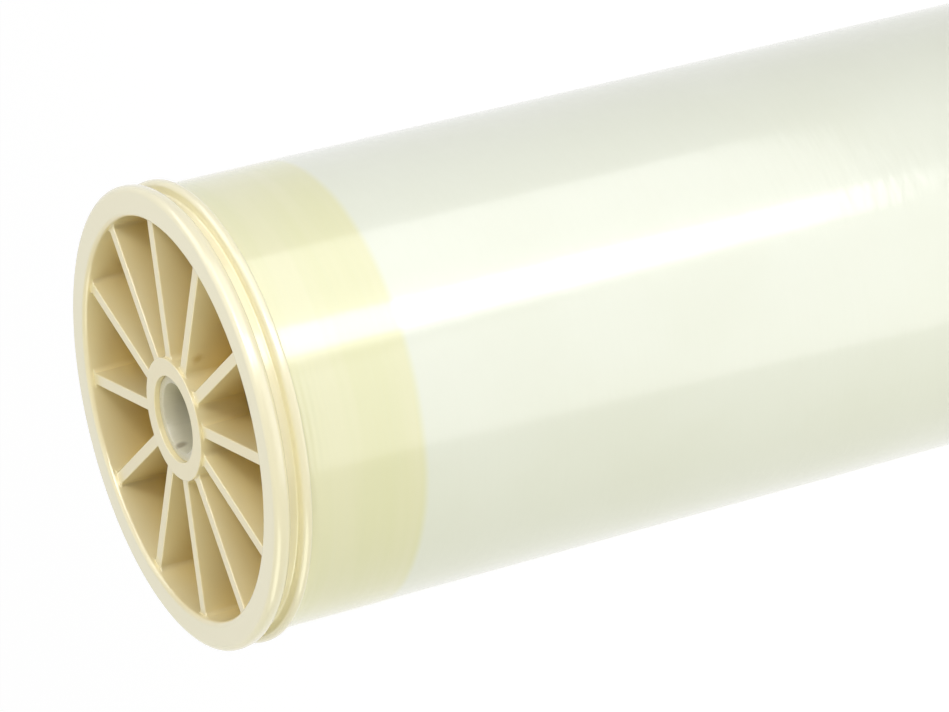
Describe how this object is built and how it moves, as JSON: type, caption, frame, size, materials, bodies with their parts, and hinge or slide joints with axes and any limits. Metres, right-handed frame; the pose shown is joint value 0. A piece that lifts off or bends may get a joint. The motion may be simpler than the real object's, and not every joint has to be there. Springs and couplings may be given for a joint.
{
  "type": "ro membrane element",
  "caption": "Spiral-wound reverse osmosis element: a perforated product tube, a membrane roll in a fibreglass shell, and a spoked end cap on each end.",
  "frame": {"origin": "middle of the feed end's rim face, which the element stands on", "axes": "+Z along the product tube, from the feed end to the brine end; +X through the middle of a cap window"},
  "size_m": [0.205, 0.205, 1.016],
  "materials": {
    "tube": "smooth extruded grey plastic",
    "carrier": "fine knitted carrier cloth",
    "membrane": "wound sheet edges",
    "film": "white wrap film",
    "tape": "smooth tape",
    "cap": "glossy moulded ivory plastic",
    "shell": "glossy resin over wound glass fibre",
    "seal": "matt black rubber"
  },
  "bodies": {
    "root": {"product_tube": "tube", "core_wrap": "carrier", "membrane_roll": "membrane", "wrap_film": "film", "feed_end_tape": "tape", "brine_end_tape": "tape", "feed_end_cap": "cap", "brine_end_cap": "cap", "fibreglass_shell": "shell", "brine_seal": "seal"}
  },
  "joints": []
}
